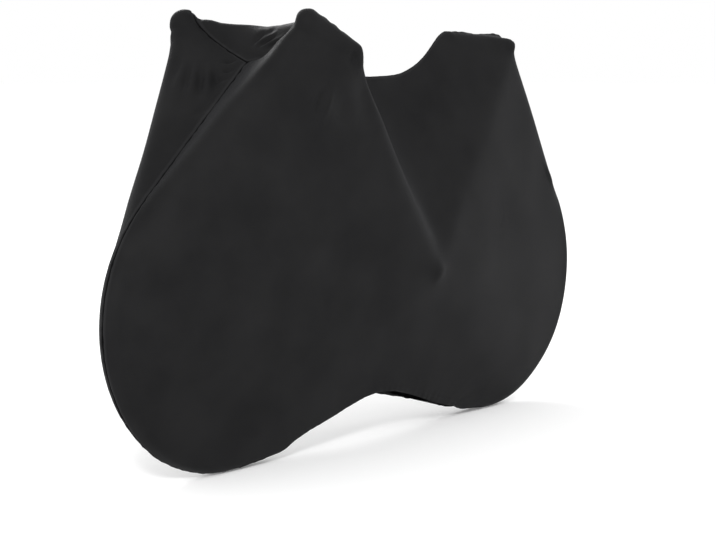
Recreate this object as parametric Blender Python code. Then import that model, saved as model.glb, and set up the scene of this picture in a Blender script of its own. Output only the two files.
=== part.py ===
"""Fitted stretch cover for a bicycle: two side panels and a handlebar gusset, drawn taut.

Frame: metres. X runs along the bicycle with the front wheel towards -X, the near side is -Y,
+Z is up, and the origin is on the ground, midway between the two wheels.

The cover is one taut sheet held off by a few things inside it: two tyres, the handlebar with its
bar ends, the saddle and the pedals. Each piece of cloth is a net of knots whose edges lie on
named seam and hem lines. A side panel's net is made of ribs from seam to hem, each spanned tight
over tents, the wraps of the supports it hangs between, and then drawn in a little. The gusset's
knots are drawn to the weighted mean of their neighbours, as a taut sheet is, above the handlebar.
"""
import math

import bmesh
import bpy
import numpy as np

# ---- Driving dimensions ----
WHEEL_RADIUS = 0.360        # to the outside of the cloth on the tread
WHEEL_BASE = 0.966
TYRE_HALF = 0.031           # half the tyre's width, cloth included
CLOTH = 0.0015
HEM_CLOTH = 0.0032          # two turns of cloth and the elastic between them
HEM_DEPTH = 0.020
SEAM_GAP = 0.0003

SEAM_END = 270.0            # where the centre seam stops under the front wheel, degrees from +X
SHOULDER_ROWS = (0.016, 0.032, 0.054, 0.090, 0.140)   # first rows of the net in from the seam
BODY_ROWS = 9               # rows of net cells between the shoulder rows and the hem
BODY_GROWTH = 1.15          # above 1 the body rows widen towards the hem
FULL_RIB = 0.45             # ribs shorter than this have their shoulder and hem rows squeezed
RAYS = 70                   # sight lines that find each rib's section
SAG_ROUNDS = 30             # rounds of drawing a side panel in between its supports
FIRMNESS = 0.87             # 1 keeps it straight between them, 0 lets it draw in all the way
SOFTENING = 1               # rounds that take the edge off the folds
GUSSET_ROUNDS = 400

WHEELS = {"front": -WHEEL_BASE / 2, "rear": WHEEL_BASE / 2}

# Seam lines of one side, as x, half_width (distance from the middle plane) and z.
FRONT_CORNER = (-0.4025, 0.0, 0.925)
REAR_CORNER = (-0.170, 0.0, 0.905)
BAR_END_PEAK = (-0.399, 0.194, 1.0415)
SADDLE_TAIL = (0.595, 0.0, 0.950)

TO_BAR_END = {              # front corner of the gusset up to the bar end, slacker on the near side
    "near": [FRONT_CORNER, (-0.400, 0.075, 0.941), (-0.403, 0.132, 0.974),
             (-0.407, 0.157, 1.006), (-0.407, 0.169, 1.033), BAR_END_PEAK],
    "far": [FRONT_CORNER, (-0.402, 0.075, 0.957), (-0.404, 0.132, 0.990),
            (-0.407, 0.157, 1.012), (-0.407, 0.169, 1.033), BAR_END_PEAK],
}
TO_REAR_CORNER = [          # bar end, over the grip, down to the rear corner of the gusset
    BAR_END_PEAK,
    (-0.365, 0.213, 1.016),
    (-0.333, 0.227, 0.992),
    (-0.300, 0.238, 0.970),
    (-0.270, 0.200, 0.950),
    (-0.225, 0.110, 0.926),
    REAR_CORNER,
]
RIDGE = [                   # gusset to saddle nose, hanging free
    REAR_CORNER,
    (-0.060, 0.0, 0.890),
    (0.045, 0.0, 0.886),
    (0.150, 0.0, 0.898),
    (0.215, 0.0, 0.929),
    (0.262, 0.0, 0.970),
    (0.300, 0.0, 0.994),
]
SADDLE = [
    (0.300, 0.0, 0.994),
    (0.360, 0.0, 0.990),
    (0.440, 0.0, 0.985),
    (0.520, 0.0, 0.988),
    (0.570, 0.0, 0.980),
    SADDLE_TAIL,
]
HEM = [                     # free part of the hem between the wheels
    (-0.270, 0.032, 0.063),
    (-0.157, 0.042, 0.101),
    (-0.086, 0.050, 0.128),
    (-0.020, 0.055, 0.137),
    (0.035, 0.056, 0.121),
    (0.114, 0.054, 0.096),
    (0.232, 0.042, 0.055),
]
HEM_LEAVES_FRONT = 293.0    # degrees round the front wheel
HEM_MEETS_REAR = 252.0      # degrees round the rear wheel
HEM_TUCK = 0.018            # half width of the mouth under the tyres
HEM_BACK = 6.0              # degrees from the seam's foot to the hem's

# What holds the cloth out, as rods with round ends: x, half_width, z and radius of each end.
RODS = {
    "handlebar": ((-0.335, 0.0, 0.988, 0.016), (-0.309, 0.237, 0.950, 0.020)),
    "bar_end": ((-0.309, 0.237, 0.950, 0.020), (-0.412, 0.192, 1.012, 0.032)),
    "saddle_nose": ((0.320, 0.0, 0.970, 0.022), (0.440, 0.014, 0.962, 0.022)),
    "saddle_wing": ((0.440, 0.014, 0.962, 0.022), (0.545, 0.043, 0.953, 0.026)),
}
PEDALS = {                  # one crank is up and the other down
    "near": ((0.085, 0.100, 0.420, 0.030), (0.090, 0.135, 0.420, 0.035)),
    "far": ((0.030, 0.080, 0.215, 0.025), (0.030, 0.115, 0.215, 0.030)),
}
TENTS = [                   # what the cloth spans straight between: rods, seam corners, wheels
    (("bar_end", "pedal"), (), ("front",)),
    (("saddle_nose", "saddle_wing", "pedal"), (SADDLE_TAIL,), ("rear",)),
    (("pedal",), (), ("front", "rear")),
]
CREST = ((-0.335, 0.0, 0.988, 0.016), (-0.386, 0.160, 0.992, 0.024))   # holds up the gusset
GUSSET_FACE = 0.2           # the gusset is held out by faces that look up past this

# Net cells along each section of a side panel's seam, in order from the front wheel's foot.
CELLS = {"front_wheel": 14, "front_seam": 8, "to_bar_end": 8, "to_rear_corner": 8,
         "ridge": 7, "saddle": 5, "rear_seam": 7, "rear_wheel": 14}

# How far the ribs from each section lean to the front as they go out, at its start and end.
LEANS = {"front_wheel": (0.0, 0.0), "front_seam": (0.0, 0.6), "to_bar_end": (0.6, 0.6),
         "to_rear_corner": (0.6, -0.3), "ridge": (-0.3, 0.0), "saddle": (0.0, 0.0),
         "rear_seam": (0.0, 0.0), "rear_wheel": (0.0, 0.0)}

COLOURS = {"panel_near": (0.016, 0.016, 0.017), "panel_far": (0.015, 0.015, 0.016),
           "handlebar_gusset": (0.018, 0.018, 0.019)}
CLOTH_ROUGHNESS = 0.75


# ---- Lines ----
def even_line(points, cells):
    """The same line with its points spaced evenly along it."""
    points = np.array(points, dtype=float)
    along = np.concatenate([[0.0], np.cumsum(np.linalg.norm(np.diff(points, axis=0), axis=1))])
    stations = np.linspace(0.0, along[-1], cells + 1)
    return np.stack([np.interp(stations, along, points[:, axis]) for axis in range(3)], axis=1)


def smooth_line(knots, cells, steps_per_knot=24):
    """Evenly spaced points on a smooth line through the knots, both ends included."""
    knots = np.array(knots, dtype=float)
    lengths = np.linalg.norm(np.diff(knots, axis=0), axis=1)[:, None]
    slopes = np.diff(knots, axis=0) / lengths
    tangents = np.concatenate([slopes[:1], slopes])
    tangents[1:-1] = ((slopes[:-1] * lengths[1:] + slopes[1:] * lengths[:-1])
                      / (lengths[:-1] + lengths[1:]))
    t = np.linspace(0.0, 1.0, steps_per_knot, endpoint=False)[:, None]
    pieces = []
    for i, length in enumerate(lengths):
        pieces.append((2 * t**3 - 3 * t**2 + 1) * knots[i]
                      + (t**3 - 2 * t**2 + t) * tangents[i] * length
                      + (3 * t**2 - 2 * t**3) * knots[i + 1]
                      + (t**3 - t**2) * tangents[i + 1] * length)
    return even_line(np.concatenate([*pieces, knots[-1:]]), cells)


def join(lines):
    """One line from several that follow each other end to end."""
    return np.concatenate([lines[0]] + [line[1:] for line in lines[1:]])


def on_wheel(wheel, degrees, half_width=0.0):
    """A point of the tyre's outside, over the tread or down its side by half_width."""
    angle = math.radians(degrees)
    radius = WHEEL_RADIUS - TYRE_HALF + math.sqrt(TYRE_HALF**2 - half_width**2)
    return (WHEELS[wheel] + radius * math.cos(angle), half_width,
            WHEEL_RADIUS + radius * math.sin(angle))


def wheel_arc(wheel, start, end, cells, half_width=0.0):
    angles = np.linspace(start, end, cells + 1)
    return np.array([on_wheel(wheel, angle, half_width) for angle in angles])


def tangent_angle(wheel, point, side):
    """Where a straight line from the point touches the wheel, in degrees."""
    reach_x, reach_z = point[0] - WHEELS[wheel], point[2] - WHEEL_RADIUS
    towards = math.degrees(math.atan2(reach_z, reach_x))
    return towards + side * math.degrees(math.acos(WHEEL_RADIUS / math.hypot(reach_x, reach_z)))


def seam_line(side):
    """The whole seam edge of a side panel, from the front wheel's foot to the rear wheel's."""
    leaves_front = tangent_angle("front", FRONT_CORNER, 1)
    meets_rear = tangent_angle("rear", SADDLE_TAIL, -1)
    return join([
        wheel_arc("front", SEAM_END, leaves_front, CELLS["front_wheel"]),
        even_line([on_wheel("front", leaves_front), FRONT_CORNER], CELLS["front_seam"]),
        smooth_line(TO_BAR_END[side], CELLS["to_bar_end"]),
        smooth_line(TO_REAR_CORNER, CELLS["to_rear_corner"]),
        smooth_line(RIDGE, CELLS["ridge"]),
        smooth_line(SADDLE, CELLS["saddle"]),
        even_line([SADDLE_TAIL, on_wheel("rear", meets_rear)], CELLS["rear_seam"]),
        wheel_arc("rear", meets_rear, 180.0 - SEAM_END, CELLS["rear_wheel"]),
    ])


def hem_line(cells):
    """The hem: round the foot of each tyre and up in a shallow arch between the wheels."""
    first = wheel_arc("front", SEAM_END + HEM_BACK, HEM_LEAVES_FRONT, 8, HEM_TUCK)
    last = wheel_arc("rear", HEM_MEETS_REAR, 540.0 - SEAM_END - HEM_BACK, 8, HEM_TUCK)
    return even_line(join([first, smooth_line([first[-1], *HEM, last[0]], 24), last]), cells)


# ---- Supports ----
def push_off(points, centres, radii):
    """Move the points that are nearer than the radii to their centres out to that distance."""
    away = points - centres
    distance = np.maximum(np.linalg.norm(away, axis=-1), 1e-6)
    return centres + away * np.maximum(radii / distance, 1.0)[..., None]


def push_off_tyre(points, wheel):
    ring_radius = WHEEL_RADIUS - TYRE_HALF
    across = points[..., 0] - WHEELS[wheel]
    up = points[..., 2] - WHEEL_RADIUS
    reach = np.maximum(np.hypot(across, up), 1e-6)
    ring = np.stack([WHEELS[wheel] + across / reach * ring_radius, np.zeros_like(reach),
                     WHEEL_RADIUS + up / reach * ring_radius], axis=-1)
    return push_off(points, ring, TYRE_HALF)


def push_off_rod(points, rod):
    start, end = np.array(rod)
    axis = (end - start)[:3]
    part = np.clip((points - start[:3]) @ axis / (axis @ axis), 0.0, 1.0)
    return push_off(points, start[:3] + part[..., None] * axis, start[3] + part * (end - start)[3])


def ball_points(x, half_width, z, radius):
    points = []
    for latitude in range(-60, 91, 30):
        for longitude in range(0, 360, 30):
            up, round_angle = math.radians(latitude), math.radians(longitude)
            points.append((x + radius * math.cos(up) * math.cos(round_angle),
                           half_width + radius * math.cos(up) * math.sin(round_angle),
                           z + radius * math.sin(up)))
    return points


def rod_points(*rods):
    return [point for rod in rods for end in rod for point in ball_points(*end)]


def wrap_planes(points):
    """The faces of the tight wrap round the points, as rows of outward normal and offset."""
    wrap = bmesh.new()
    for point in points:
        wrap.verts.new(point)
    bmesh.ops.convex_hull(wrap, input=wrap.verts)
    wrap.normal_update()
    planes = [(*face.normal, face.normal.dot(face.verts[0].co))
              for face in wrap.faces if face.calc_area() > 1e-9]
    wrap.free()
    return np.array(planes)


def side_tents(rods):
    tents = []
    for rod_names, corners, wheels in TENTS:
        points = list(corners)
        points += rod_points(*(rods[name] for name in rod_names))
        for wheel in wheels:
            for half_width in (0.0, 0.6 * TYRE_HALF, 0.95 * TYRE_HALF, TYRE_HALF):
                points += wheel_arc(wheel, 0.0, 352.0, 44, half_width).tolist()
        tents.append(wrap_planes(points))
    return tents


def way_out(planes, start, directions):
    """How far each direction runs from the start to where it leaves a wrap, or 0 if it misses."""
    lean = directions @ planes[:, :3].T
    room = planes[:, 3] - planes[:, :3] @ start
    with np.errstate(divide="ignore", invalid="ignore"):
        cross = room / lean
    leave = np.where(lean > 1e-9, cross, np.inf).min(axis=1)
    enter = np.where(lean < -1e-9, cross, -np.inf).max(axis=1)
    return np.where((leave > enter) & (leave > 0.0), leave, 0.0)


# ---- Nets ----
def taut_line(points):
    """The tight line over points in the plane, from the first to the last, bulging to the left."""
    line = []
    for point in points:
        while len(line) > 1:
            before, here = line[-1] - line[-2], point - line[-1]
            if before[0] * here[1] - before[1] * here[0] > 0.0:
                break
            line.pop()
        line.append(point)
    return line


def rib(top, foot, lean, tents):
    """One rib of a side panel, from its seam down to its hem, taut over the tents between."""
    outward = unit(np.array([-lean, 1.0, 0.0]))
    heart = (top + foot) / 2
    heart = heart - outward * heart[1] / outward[1]
    towards_seam = unit(top - foot - (top - foot) @ outward * outward)
    section = [np.array([(end - heart) @ towards_seam, (end - heart) @ outward])
               for end in (top, foot)]
    first, last = (math.atan2(end[1], end[0]) for end in section)
    angles = np.linspace(first, last % math.tau, RAYS + 2)[1:-1]
    directions = (np.cos(angles)[:, None] * towards_seam + np.sin(angles)[:, None] * outward)
    reach = np.max([way_out(planes, heart, directions) for planes in tents], axis=0)
    rays = np.stack([np.cos(angles), np.sin(angles)], axis=1) * reach[:, None]
    line = np.array(taut_line([section[0], *rays[reach > 0.0], section[1]]))
    along = np.concatenate([[0.0], np.cumsum(np.linalg.norm(np.diff(line, axis=0), axis=1))])
    stations = rib_fractions(along[-1]) * along[-1]
    placed = [np.interp(stations, along, line[:, axis])[:, None] for axis in range(2)]
    return heart + placed[0] * towards_seam + placed[1] * outward


def rib_fractions(length):
    """Places of the rows along a rib, as parts of its length."""
    squeeze = min(1.0, length / FULL_RIB)
    shoulder = [offset * squeeze / length for offset in SHOULDER_ROWS]
    hem_top = 1.0 - HEM_DEPTH * squeeze / length
    steps = np.linspace(0.0, 1.0, BODY_ROWS + 1)[1:] ** BODY_GROWTH
    return np.array([0.0, *shoulder, *(shoulder[-1] + (hem_top - shoulder[-1]) * steps), 1.0])


def draw_taut(net, push, rounds):
    """Draw the inner knots of a net to the mean of their neighbours, nearer ones counting more."""
    along_u = 1.0 / np.maximum(np.linalg.norm(np.diff(net, axis=0), axis=2), 1e-4)[:, 1:-1, None]
    along_v = 1.0 / np.maximum(np.linalg.norm(np.diff(net, axis=1), axis=2), 1e-4)[1:-1, :, None]
    total = along_u[:-1] + along_u[1:] + along_v[:, :-1] + along_v[:, 1:]
    net = net.copy()
    for _ in range(rounds):
        mean = (net[:-2, 1:-1] * along_u[:-1] + net[2:, 1:-1] * along_u[1:]
                + net[1:-1, :-2] * along_v[:, :-1] + net[1:-1, 2:] * along_v[:, 1:]) / total
        net[1:-1, 1:-1] = push(mean)
    return net


def side_net(side):
    """A side panel's net, worked out on the +Y side."""
    rods = {**RODS, "pedal": PEDALS[side]}
    tents = side_tents(rods)

    def off_supports(points):
        points[..., 1] = np.maximum(points[..., 1], 0.0)
        for rod in rods.values():
            points = push_off_rod(points, rod)
        for wheel in WHEELS:
            points = push_off_tyre(points, wheel)
        return points

    seam = seam_line(side)
    hem = hem_line(len(seam) - 1)
    leans = join([np.linspace(*LEANS[section], cells + 1) for section, cells in CELLS.items()])
    spanned = np.array([rib(top, foot, lean, tents) for top, foot, lean in zip(seam, hem, leans)])
    drawn_in = draw_taut(spanned, off_supports, SAG_ROUNDS)
    net = FIRMNESS * spanned + (1 - FIRMNESS) * drawn_in
    return draw_taut(net, off_supports, SOFTENING)


def mirrored(rod):
    return tuple((x, -half_width, z, radius) for x, half_width, z, radius in rod)


def gusset_net(near_seam, far_seam):
    """The kite between the two side panels, from its four seam edges."""
    cells = (len(near_seam) - 1) // 2
    front_near, rear_near = near_seam[:cells + 1], near_seam[cells:]
    front_far, rear_far = far_seam[:cells + 1], far_seam[cells:]
    net = np.zeros((cells + 1, cells + 1, 3))
    for i in range(cells + 1):
        for j in range(cells + 1):
            u, v = i / cells, j / cells
            ruled = ((1 - v) * front_near[i] + v * rear_far[i]
                     + (1 - u) * front_far[j] + u * rear_near[j])
            corners = ((1 - u) * (1 - v) * front_near[0] + u * (1 - v) * front_near[-1]
                       + (1 - u) * v * front_far[-1] + u * v * rear_near[-1])
            net[i, j] = ruled - corners
    bars = [RODS["handlebar"], mirrored(RODS["handlebar"])]
    tents = [wrap_planes([FRONT_CORNER, REAR_CORNER, *rod_points(*bars)]),
             wrap_planes(rod_points(CREST)), wrap_planes(rod_points(mirrored(CREST)))]

    def off_handlebar(knots):
        for planes in tents:
            depth = knots @ planes[:, :3].T - planes[:, 3]
            inside = depth.max(axis=-1, keepdims=True) < 0.0
            depth[..., planes[:, 2] < GUSSET_FACE] = -np.inf
            nearest = np.argmax(depth, axis=-1)
            reach = np.take_along_axis(depth, nearest[..., None], axis=-1)
            knots = np.where(inside, knots - planes[nearest, :3] * reach, knots)
        return knots

    return draw_taut(net, off_handlebar, GUSSET_ROUNDS)


# ---- Thickness and edges ----
def knot_normals(net):
    """Area-weighted normals of a net's knots, not yet unit length."""
    across = np.cross(net[1:, 1:] - net[:-1, :-1], net[:-1, 1:] - net[1:, :-1])
    normals = np.zeros_like(net)
    for rows in (slice(0, -1), slice(1, None)):
        for columns in (slice(0, -1), slice(1, None)):
            normals[rows, columns] += across
    return normals


def unit(vectors):
    return vectors / np.maximum(np.linalg.norm(vectors, axis=-1, keepdims=True), 1e-9)


def edge_steps(line, normals, closed):
    """How far each point of a seam edge is drawn back, square to the seam, for the seam's gap."""
    after = np.roll(line, -1, axis=0) - line
    if not closed:
        after[-1] = after[-2]
    before = np.roll(after, 1, axis=0)
    if not closed:
        before[0] = after[0]
    inward_before = unit(np.cross(normals, before))
    inward_after = unit(np.cross(normals, after))
    spread = 1.0 + np.sum(inward_before * inward_after, axis=1, keepdims=True)
    return SEAM_GAP / 2 * (inward_before + inward_after) / np.maximum(spread, 0.5)


def shell(name, outer, inner):
    """A closed mesh from the outer and inner net of one piece, split along the same diagonals."""
    columns, rows = outer.shape[:2]
    count = columns * rows
    points = np.concatenate([outer.reshape(-1, 3), inner.reshape(-1, 3)])

    def knot(i, j, skin):
        return skin * count + i * rows + j

    faces = []
    for i in range(columns - 1):
        for j in range(rows - 1):
            corners = [(i, j), (i + 1, j), (i + 1, j + 1), (i, j + 1)]
            a, b, c, d = (outer[corner] for corner in corners)
            if np.linalg.norm(a - c) > np.linalg.norm(b - d):
                corners = corners[1:] + corners[:1]
            for half in (corners[:3], corners[2:] + corners[:1]):
                faces.append([knot(*corner, 0) for corner in half])
                faces.append([knot(*corner, 1) for corner in reversed(half)])
    rim = ([(i, 0) for i in range(columns - 1)]
           + [(columns - 1, j) for j in range(rows - 1)]
           + [(i, rows - 1) for i in range(columns - 1, 0, -1)]
           + [(0, j) for j in range(rows - 1, 0, -1)])
    for here, following in zip(rim, rim[1:] + rim[:1]):
        quad = [knot(*following, 0), knot(*here, 0), knot(*here, 1), knot(*following, 1)]
        if outer[here][2] > outer[following][2]:     # so that both sides of a seam split alike
            quad = quad[1:] + quad[:1]
        faces += [quad[:3], quad[2:] + quad[:1]]
    mesh = bpy.data.meshes.new(name)
    mesh.from_pydata(points.tolist(), [], faces)
    mesh.validate()
    mesh.shade_smooth()
    mesh.set_sharp_from_angle(angle=math.radians(50))
    return mesh


def cloth_material(name):
    material = bpy.data.materials.new(name + "_knit")
    material.use_nodes = True
    surface = material.node_tree.nodes["Principled BSDF"]
    surface.inputs["Base Color"].default_value = (*COLOURS[name], 1.0)
    surface.inputs["Roughness"].default_value = CLOTH_ROUGHNESS
    surface.inputs["Metallic"].default_value = 0.0
    return material


def add_piece(name, outer, inner, collection):
    piece = bpy.data.objects.new(name, shell(name, outer, inner))
    piece.data.materials.append(cloth_material(name))
    collection.objects.link(piece)
    return piece


def main():
    for old in list(bpy.data.objects):
        bpy.data.objects.remove(old, do_unlink=True)
    collection = bpy.data.collections.new("bicycle_cover")
    bpy.context.scene.collection.children.link(collection)

    far = side_net("far")
    near = side_net("near") * np.array([1.0, -1.0, 1.0])
    first = CELLS["front_wheel"] + CELLS["front_seam"]
    last = first + CELLS["to_bar_end"] + CELLS["to_rear_corner"]
    gusset = gusset_net(near[first:last + 1, 0], far[first:last + 1, 0])
    middle_y = (near[..., 1].min() + far[..., 1].max()) / 2
    for net in (near, far, gusset):
        net[..., 1] -= middle_y

    # Normals, shared where pieces meet, so that their edges are mitred to each other.
    far_normals = knot_normals(far)
    near_normals = -knot_normals(near)
    gusset_normals = knot_normals(gusset)
    cells = gusset.shape[0] - 1
    steps = range(cells + 1)
    near_edge = [(i, 0) for i in steps] + [(cells, j) for j in steps if j]
    far_edge = [(0, j) for j in steps] + [(i, cells) for i in steps if i]
    seam_far = far_normals[:, 0].copy()
    seam_near = near_normals[:, 0].copy()
    middle = seam_far + seam_near
    for k, (near_knot, far_knot) in enumerate(zip(near_edge, far_edge)):
        station = first + k
        if near_knot == far_knot:
            shared = middle[station] + gusset_normals[near_knot]
            near_normals[station, 0] = far_normals[station, 0] = gusset_normals[near_knot] = shared
            continue
        near_normals[station, 0] = seam_near[station] + gusset_normals[near_knot]
        far_normals[station, 0] = seam_far[station] + gusset_normals[far_knot]
        gusset_normals[near_knot] = near_normals[station, 0]
        gusset_normals[far_knot] = far_normals[station, 0]
    for station in [*range(first), *range(last + 1, len(middle))]:
        near_normals[station, 0] = far_normals[station, 0] = middle[station]

    thickness = np.full(far.shape[:2] + (1,), CLOTH)
    thickness[:, -2:] = HEM_CLOTH
    for name, net, normals, turn in (("panel_near", near, near_normals, -1),
                                     ("panel_far", far, far_normals, 1)):
        normals = unit(normals)
        inner = net - normals * thickness
        back = edge_steps(net[:, 0], normals[:, 0] * turn, False)
        net[:, 0] += back
        inner[:, 0] += back
        if turn < 0:
            net, inner = net[::-1], inner[::-1]
        add_piece(name, net, inner, collection)

    normals = unit(gusset_normals)
    inner = gusset - normals * CLOTH
    loop = ([(i, 0) for i in range(cells)] + [(cells, j) for j in range(cells)]
            + [(i, cells) for i in range(cells, 0, -1)] + [(0, j) for j in range(cells, 0, -1)])
    index = tuple(np.array(loop).T)
    back = edge_steps(gusset[index], normals[index], True)
    gusset[index] += back
    inner[index] += back
    add_piece("handlebar_gusset", gusset, inner, collection)


main()
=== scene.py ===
"""Looks of the fitted bicycle cover: finer sheets on the CAD solids' folds, their knit and seams.

The sheets are worked out as the CAD's are, from nearly the same seam lines and supports, on a
much finer net. Listed creases, a slight unevenness, the stitched seams and the turned hem
are then added to them.
"""
import math

import bmesh
import bpy
import numpy as np
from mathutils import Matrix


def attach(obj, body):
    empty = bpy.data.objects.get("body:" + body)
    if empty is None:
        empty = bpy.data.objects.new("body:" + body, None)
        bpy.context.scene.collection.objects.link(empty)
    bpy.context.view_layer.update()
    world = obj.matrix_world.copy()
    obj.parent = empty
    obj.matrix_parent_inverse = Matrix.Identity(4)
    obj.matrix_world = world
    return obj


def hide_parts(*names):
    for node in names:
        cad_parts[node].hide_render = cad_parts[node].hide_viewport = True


# ---- The cover's lines and what holds it out ----
# These are the CAD's own, but for the ridge's end, the saddle and the drop behind it, which the
# finer net here can follow more closely.
WHEEL_RADIUS = 0.360        # to the outside of the cloth on the tread
WHEEL_BASE = 0.966
TYRE_HALF = 0.031           # half the tyre's width, cloth included

SEAM_END = 270.0            # where the centre seam stops under the front wheel, degrees from +X

WHEELS = {"front": -WHEEL_BASE / 2, "rear": WHEEL_BASE / 2}

# Seam lines of one side, as x, half_width (distance from the middle plane) and z.
FRONT_CORNER = (-0.4025, 0.0, 0.925)
REAR_CORNER = (-0.170, 0.0, 0.905)
BAR_END_PEAK = (-0.399, 0.194, 1.0415)
SADDLE_TAIL = (0.5745, 0.0, 0.950)

TO_BAR_END = {              # front corner of the gusset up to the bar end, slacker on the near side
    "near": [FRONT_CORNER, (-0.400, 0.075, 0.941), (-0.403, 0.132, 0.974),
             (-0.407, 0.157, 1.006), (-0.407, 0.169, 1.033), BAR_END_PEAK],
    "far": [FRONT_CORNER, (-0.402, 0.075, 0.957), (-0.404, 0.132, 0.990),
            (-0.407, 0.157, 1.012), (-0.407, 0.169, 1.033), BAR_END_PEAK],
}
TO_REAR_CORNER = [          # bar end, over the grip, down to the rear corner of the gusset
    BAR_END_PEAK,
    (-0.365, 0.213, 1.016),
    (-0.333, 0.227, 0.992),
    (-0.300, 0.238, 0.970),
    (-0.270, 0.200, 0.950),
    (-0.225, 0.110, 0.926),
    REAR_CORNER,
]
RIDGE = [                   # gusset to saddle nose, hanging free
    REAR_CORNER,
    (-0.060, 0.0, 0.890),
    (0.045, 0.0, 0.886),
    (0.150, 0.0, 0.896),
    (0.215, 0.0, 0.926),
    (0.262, 0.0, 0.965),
    (0.284, 0.0, 0.984),
    (0.308, 0.0, 0.9945),
]
SADDLE = [
    (0.308, 0.0, 0.9945),
    (0.360, 0.0, 0.9945),
    (0.440, 0.0, 0.9855),
    (0.520, 0.0, 0.988),
    (0.542, 0.0, 0.983),
    (0.557, 0.0, 0.972),
    SADDLE_TAIL,
]
REAR_DROP = [               # saddle tail to the rear wheel, drawn in at first and full over the tyre
    SADDLE_TAIL,
    (0.6015, 0.0, 0.912),
    (0.6300, 0.0, 0.865),
    (0.668, 0.0, 0.765),
    (0.714, 0.0, 0.660),
    (0.756, 0.0, 0.580),
]
HEM = [                     # free part of the hem between the wheels
    (-0.270, 0.032, 0.063),
    (-0.157, 0.042, 0.101),
    (-0.086, 0.050, 0.128),
    (-0.020, 0.055, 0.137),
    (0.035, 0.056, 0.121),
    (0.114, 0.054, 0.096),
    (0.232, 0.042, 0.055),
]
REAR_DROP_ENDS = 12.0       # where the drop meets the rear wheel, degrees round it
HEM_LEAVES_FRONT = 293.0    # degrees round the front wheel
HEM_MEETS_REAR = 252.0      # degrees round the rear wheel
HEM_TUCK = 0.018            # half width of the mouth under the tyres
HEM_BACK = 6.0              # degrees from the seam's foot to the hem's
HEM_CELLS = (8, 24, 8)      # for drawing the hem: at the front foot, between, at the rear foot

# What holds the cloth out, as rods with round ends: x, half_width, z and radius of each end.
RODS = {
    "handlebar": ((-0.335, 0.0, 0.988, 0.016), (-0.309, 0.237, 0.950, 0.020)),
    "bar_end": ((-0.309, 0.237, 0.950, 0.020), (-0.412, 0.192, 1.012, 0.032)),
    "saddle_nose": ((0.320, 0.0, 0.970, 0.022), (0.440, 0.014, 0.962, 0.022)),
    "saddle_wing": ((0.440, 0.014, 0.962, 0.022), (0.516, 0.043, 0.953, 0.022)),
}
PEDALS = {                  # one crank is up and the other down
    "near": ((0.085, 0.100, 0.420, 0.030), (0.090, 0.135, 0.420, 0.035)),
    "far": ((0.030, 0.080, 0.215, 0.025), (0.030, 0.115, 0.215, 0.030)),
}
TENTS = [                   # what the cloth spans straight between: rods, seam corners, wheels
    (("bar_end", "pedal"), (), ("front",)),
    (("saddle_nose", "saddle_wing", "pedal"), (SADDLE_TAIL,), ("rear",)),
    (("pedal",), (), ("front", "rear")),
]
CREST = ((-0.335, 0.0, 0.988, 0.016), (-0.386, 0.160, 0.992, 0.024))   # holds up the gusset
BALL_STEP = 15              # degrees between the points that stand for a rod's round end
WHEEL_STEP = 3              # and between those that stand for a tyre
TYRE_BANDS = (0.0, 0.6, 0.95, 1.0)   # their distances from its middle, as shares of TYRE_HALF
GUSSET_FACE = 0.2           # the gusset is held out by faces that look up past this

# Net cells along each section of a side panel's seam, in order from the front wheel's foot.
FINE = 4
CELLS = {"front_wheel": 11 * FINE, "front_seam": 14 * FINE, "to_bar_end": 9 * FINE,
         "to_rear_corner": 9 * FINE, "ridge": 7 * FINE, "saddle": 5 * FINE,
         "rear_seam": 7 * FINE, "rear_wheel": 11 * FINE}

# How far the ribs from each section lean to the front as they go out, at its start and end.
LEANS = {"front_wheel": (0.0, 0.0), "front_seam": (0.0, 0.6), "to_bar_end": (0.6, 0.6),
         "to_rear_corner": (0.6, -0.3), "ridge": (-0.3, 0.0), "saddle": (0.0, 0.0),
         "rear_seam": (0.0, 0.0), "rear_wheel": (0.0, 0.0)}

ROWS = 36 * FINE            # net cells along a rib, from seam to hem
ROW_CROWDING = 0.6          # 0 spaces the rows evenly, towards 1 crowds them at seam and hem
RAYS = 240                  # sight lines that find each rib's section
SAG_ROUNDS = 40             # rounds of drawing a side panel in, on the coarse net
FIRMNESS = 0.87             # 1 keeps it straight between its supports, 0 lets it draw in all the way
SOFTENING = 3 * FINE        # rounds that take the edge off the folds
GUSSET_ROUNDS = (400, 60)   # on the coarse net, then on the fine one
LEAST_CELL = 1e-4           # keep divisions clear of zero
LEAST_REACH = 1e-6
SMALL = 1e-9

# ---- The cloth itself, lengths in metres ----
SEEDS = {"near": 3, "far": 8, "gusset": 21, "gusset_seam": 31}
WAVES = 7                   # sine waves added up for any unevenness
WAVE_PITCH = (0.75, 0.35)   # their cycles in a wave length, on average and how far they differ
WAVES_REACH = 3.0           # about the most that they add up to

# The ribs' own traces are eased out on the lower cloth, but hardly beside the pedals.
EASING_ROUNDS = 24
EASED_BELOW = 0.86          # height where the easing starts, and how far down it reaches its full
EASED_OVER = 0.12
EASED_FROM_SEAM = 0.10      # share of a rib before it reaches its full
PEDAL_TIP = np.array([0.075, 0.0, 0.400])
PEDAL_REACH = 0.10
PEDAL_EASING = 0.12         # share of the easing that is left at the pedal itself

# A slight unevenness all over, nothing at the edges: height, wave lengths and width of the edges.
PANEL_UNEVEN = (0.0011, (0.16, 0.24), 0.03)
GUSSET_UNEVEN = (0.0010, (0.07, 0.10), 0.02)

# A seam is a sharp furrow between two low rolls, puckered along by its thread.
FURROW_DEPTH = 0.0022
FURROW_HALF = 0.0026        # a shape fades to about a third at its half width, here and below
ROLL_HEIGHT = 0.0008
ROLL_AT = 0.0055            # from the seam
ROLL_HALF = 0.0030
SEAM_PUCKER = (0.0009, 0.023, 0.014)   # height, wave length along the seam and half width
SEAM_STITCH = 0.0045        # the row of stitching, from the seam

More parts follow.
